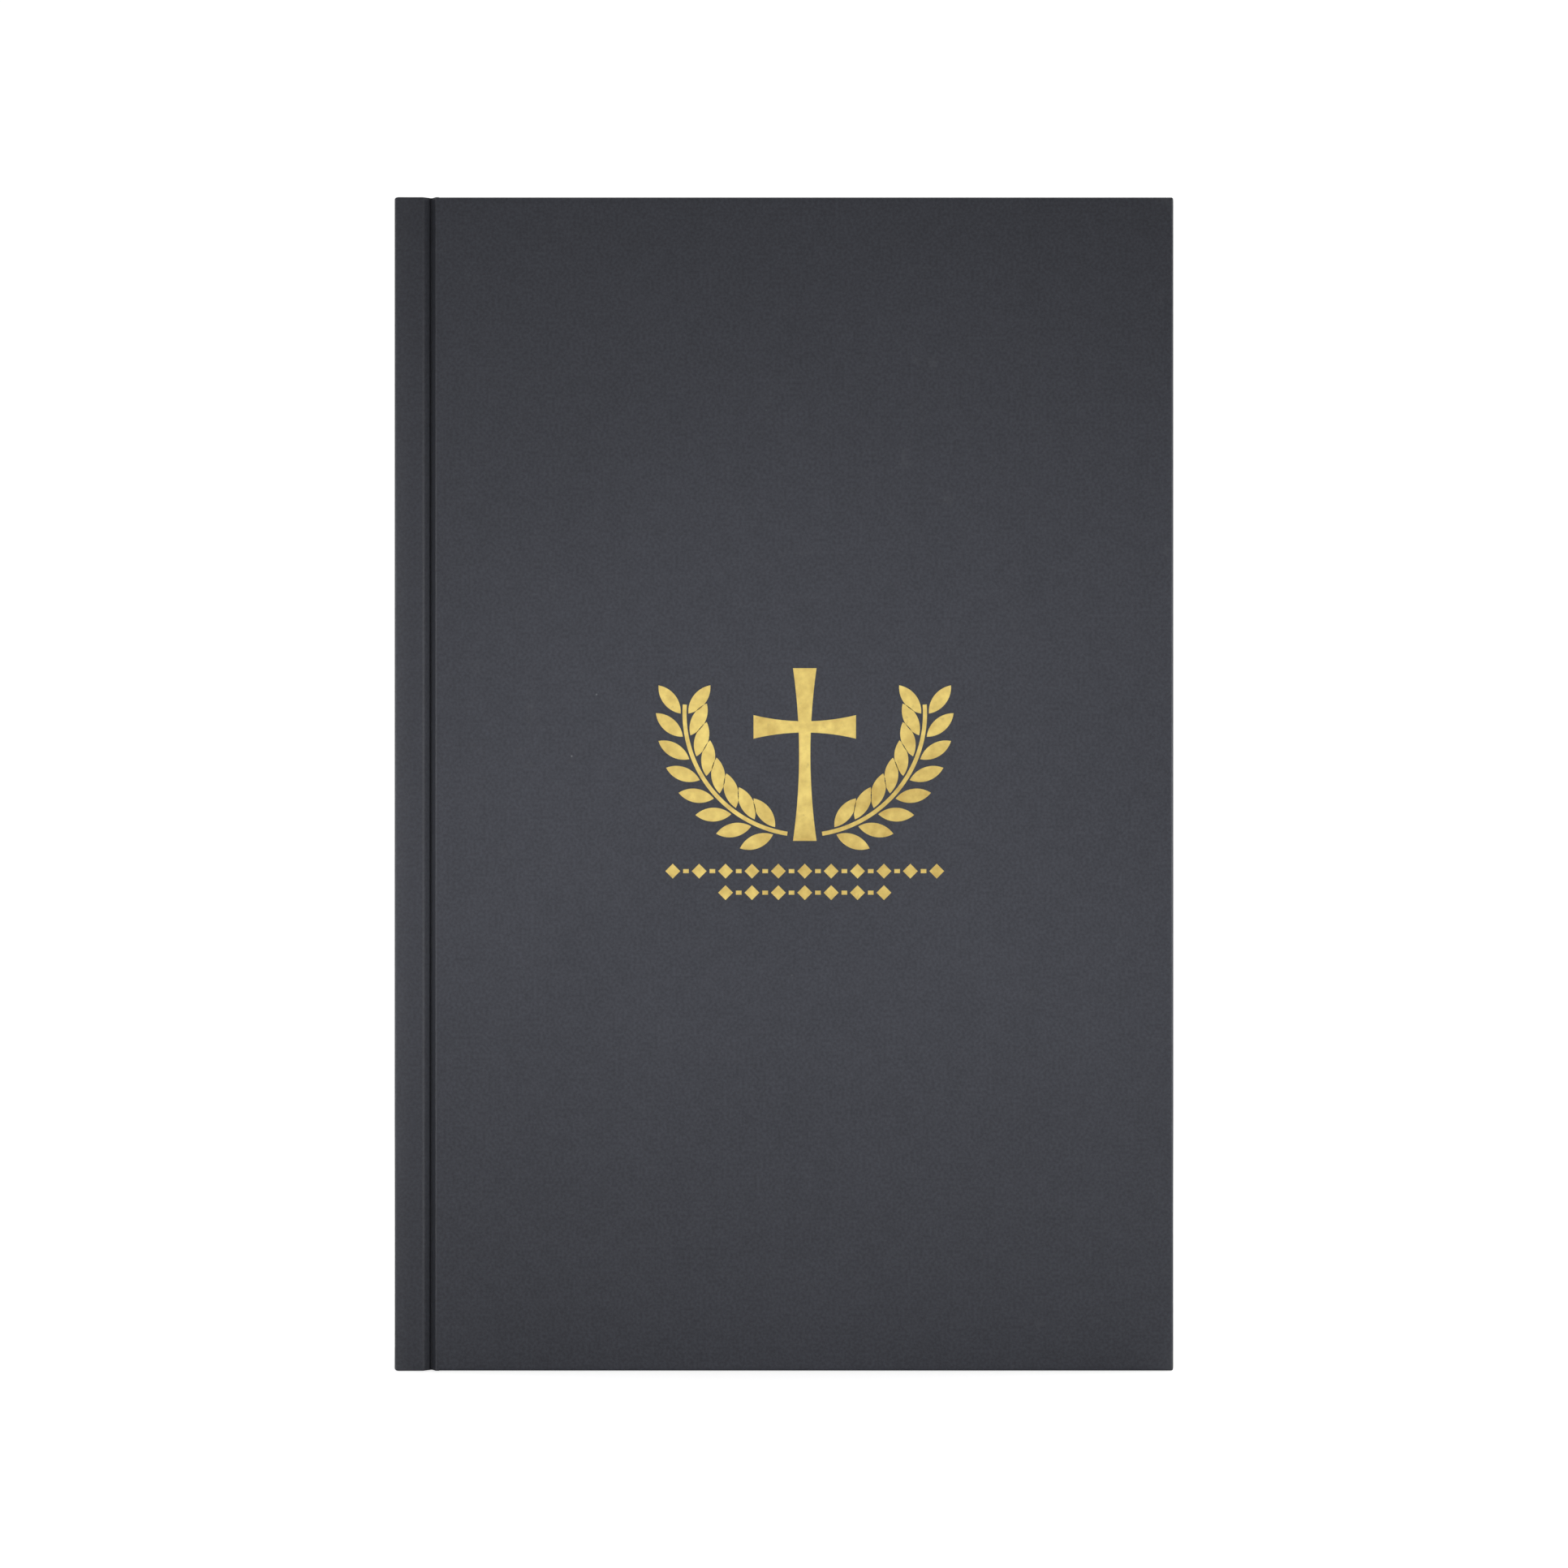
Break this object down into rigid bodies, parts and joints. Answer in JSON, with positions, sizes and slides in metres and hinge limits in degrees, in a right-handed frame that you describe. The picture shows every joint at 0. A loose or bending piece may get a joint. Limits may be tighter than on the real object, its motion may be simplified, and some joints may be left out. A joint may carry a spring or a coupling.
{
  "type": "bible",
  "caption": "Hardcover bible with a sewn book block, a flat spine and grooved joints; both covers open right back and fan the leaves beside them.",
  "frame": {"origin": "middle of the footprint, on the surface that the book stands on, under its tail edge", "axes": "+X from the spine to the fore-edge, +Y from the front cover to the back cover, +Z from tail to head; the front cover faces -Y"},
  "size_m": [0.152, 0.0388, 0.229],
  "materials": {
    "covering": "matte",
    "foil": "satin",
    "grey_board": "matte",
    "endpaper": "matte",
    "pages": "matte",
    "mull": "matte",
    "kraft_paper": "matte",
    "headband": "satin",
    "thread": "matte"
  },
  "bodies": {
    "book_block": {"mull": "mull", "spine_lining": "kraft_paper", "head_band": "headband", "tail_band": "headband", "sewing_thread": "thread", "front_endpaper_fold": "endpaper", "back_endpaper_fold": "endpaper", "bound_folds_front": "pages", "bound_folds_back": "pages", "spine_board": "grey_board", "spine_cloth": "covering", "spine_foil_ornament": "foil", "signature_07": "pages", "signature_08": "pages", "signature_09": "pages", "signature_10": "pages", "signature_11": "pages", "signature_12": "pages", "signature_13": "pages", "signature_14": "pages", "signature_15": "pages", "signature_16": "pages", "signature_17": "pages", "signature_18": "pages", "signature_19": "pages", "signature_20": "pages", "signature_21": "pages", "signature_22": "pages", "signature_23": "pages", "signature_24": "pages", "signature_25": "pages", "signature_26": "pages", "signature_27": "pages", "signature_28": "pages", "signature_29": "pages", "signature_30": "pages"},
    "front_cover": {"front_board": "grey_board", "front_cover_cloth": "covering", "cover_foil_ornament": "foil", "front_pastedown": "endpaper", "front_mull_flange": "mull"},
    "back_cover": {"back_board": "grey_board", "back_cover_cloth": "covering", "back_pastedown": "endpaper", "back_mull_flange": "mull"},
    "front_endpaper": {"front_flyleaf": "endpaper"},
    "back_endpaper": {"back_flyleaf": "endpaper"},
    "section_01": {"signature_01": "pages"},
    "section_36": {"signature_36": "pages"},
    "section_02": {"signature_02": "pages"},
    "section_35": {"signature_35": "pages"},
    "section_03": {"signature_03": "pages"},
    "section_34": {"signature_34": "pages"},
    "section_04": {"signature_04": "pages"},
    "section_33": {"signature_33": "pages"},
    "section_05": {"signature_05": "pages"},
    "section_32": {"signature_32": "pages"},
    "section_06": {"signature_06": "pages"},
    "section_31": {"signature_31": "pages"}
  },
  "joints": [
    {"name": "front_cover_hinge", "type": "hinge", "parent": "book_block", "child": "front_cover", "pos_m": [-0.0691, -0.01955, 0.1145], "axis": [0, 0, -1], "range_deg": [0, 178]},
    {"name": "back_cover_hinge", "type": "hinge", "parent": "book_block", "child": "back_cover", "pos_m": [-0.0691, 0.01955, 0.1145], "axis": [0, 0, 1], "range_deg": [0, 178]},
    {"name": "front_endpaper_turn", "type": "hinge", "parent": "book_block", "child": "front_endpaper", "pos_m": [-0.0691, -0.01955, 0.1145], "axis": [0, 0, -1], "range_deg": [0, 172.66]},
    {"name": "back_endpaper_turn", "type": "hinge", "parent": "book_block", "child": "back_endpaper", "pos_m": [-0.0691, 0.01955, 0.1145], "axis": [0, 0, 1], "range_deg": [0, 172.66]},
    {"name": "section_01_turn", "type": "hinge", "parent": "book_block", "child": "section_01", "pos_m": [-0.0691, -0.01955, 0.1145], "axis": [0, 0, -1], "range_deg": [0, 160.2]},
    {"name": "section_36_turn", "type": "hinge", "parent": "book_block", "child": "section_36", "pos_m": [-0.0691, 0.01955, 0.1145], "axis": [0, 0, 1], "range_deg": [0, 160.2]},
    {"name": "section_02_turn", "type": "hinge", "parent": "book_block", "child": "section_02", "pos_m": [-0.0691, -0.01955, 0.1145], "axis": [0, 0, -1], "range_deg": [0, 138.84]},
    {"name": "section_35_turn", "type": "hinge", "parent": "book_block", "child": "section_35", "pos_m": [-0.0691, 0.01955, 0.1145], "axis": [0, 0, 1], "range_deg": [0, 138.84]},
    {"name": "section_03_turn", "type": "hinge", "parent": "book_block", "child": "section_03", "pos_m": [-0.0691, -0.01955, 0.1145], "axis": [0, 0, -1], "range_deg": [0, 113.92]},
    {"name": "section_34_turn", "type": "hinge", "parent": "book_block", "child": "section_34", "pos_m": [-0.0691, 0.01955, 0.1145], "axis": [0, 0, 1], "range_deg": [0, 113.92]},
    {"name": "section_04_turn", "type": "hinge", "parent": "book_block", "child": "section_04", "pos_m": [-0.0691, -0.01955, 0.1145], "axis": [0, 0, -1], "range_deg": [0, 85.44]},
    {"name": "section_33_turn", "type": "hinge", "parent": "book_block", "child": "section_33", "pos_m": [-0.0691, 0.01955, 0.1145], "axis": [0, 0, 1], "range_deg": [0, 85.44]},
    {"name": "section_05_turn", "type": "hinge", "parent": "book_block", "child": "section_05", "pos_m": [-0.0691, -0.01955, 0.1145], "axis": [0, 0, -1], "range_deg": [0, 56.96]},
    {"name": "section_32_turn", "type": "hinge", "parent": "book_block", "child": "section_32", "pos_m": [-0.0691, 0.01955, 0.1145], "axis": [0, 0, 1], "range_deg": [0, 56.96]},
    {"name": "section_06_turn", "type": "hinge", "parent": "book_block", "child": "section_06", "pos_m": [-0.0691, -0.01955, 0.1145], "axis": [0, 0, -1], "range_deg": [0, 28.48]},
    {"name": "section_31_turn", "type": "hinge", "parent": "book_block", "child": "section_31", "pos_m": [-0.0691, 0.01955, 0.1145], "axis": [0, 0, 1], "range_deg": [0, 28.48]}
  ],
  "couplings": [
    {"joint": "front_endpaper_turn", "follows": "front_cover_hinge", "ratio": 0.97},
    {"joint": "back_endpaper_turn", "follows": "back_cover_hinge", "ratio": 0.97},
    {"joint": "section_01_turn", "follows": "front_cover_hinge", "ratio": 0.9},
    {"joint": "section_36_turn", "follows": "back_cover_hinge", "ratio": 0.9},
    {"joint": "section_02_turn", "follows": "front_cover_hinge", "ratio": 0.78},
    {"joint": "section_35_turn", "follows": "back_cover_hinge", "ratio": 0.78},
    {"joint": "section_03_turn", "follows": "front_cover_hinge", "ratio": 0.64},
    {"joint": "section_34_turn", "follows": "back_cover_hinge", "ratio": 0.64},
    {"joint": "section_04_turn", "follows": "front_cover_hinge", "ratio": 0.48},
    {"joint": "section_33_turn", "follows": "back_cover_hinge", "ratio": 0.48},
    {"joint": "section_05_turn", "follows": "front_cover_hinge", "ratio": 0.32},
    {"joint": "section_32_turn", "follows": "back_cover_hinge", "ratio": 0.32},
    {"joint": "section_06_turn", "follows": "front_cover_hinge", "ratio": 0.16},
    {"joint": "section_31_turn", "follows": "back_cover_hinge", "ratio": 0.16}
  ]
}
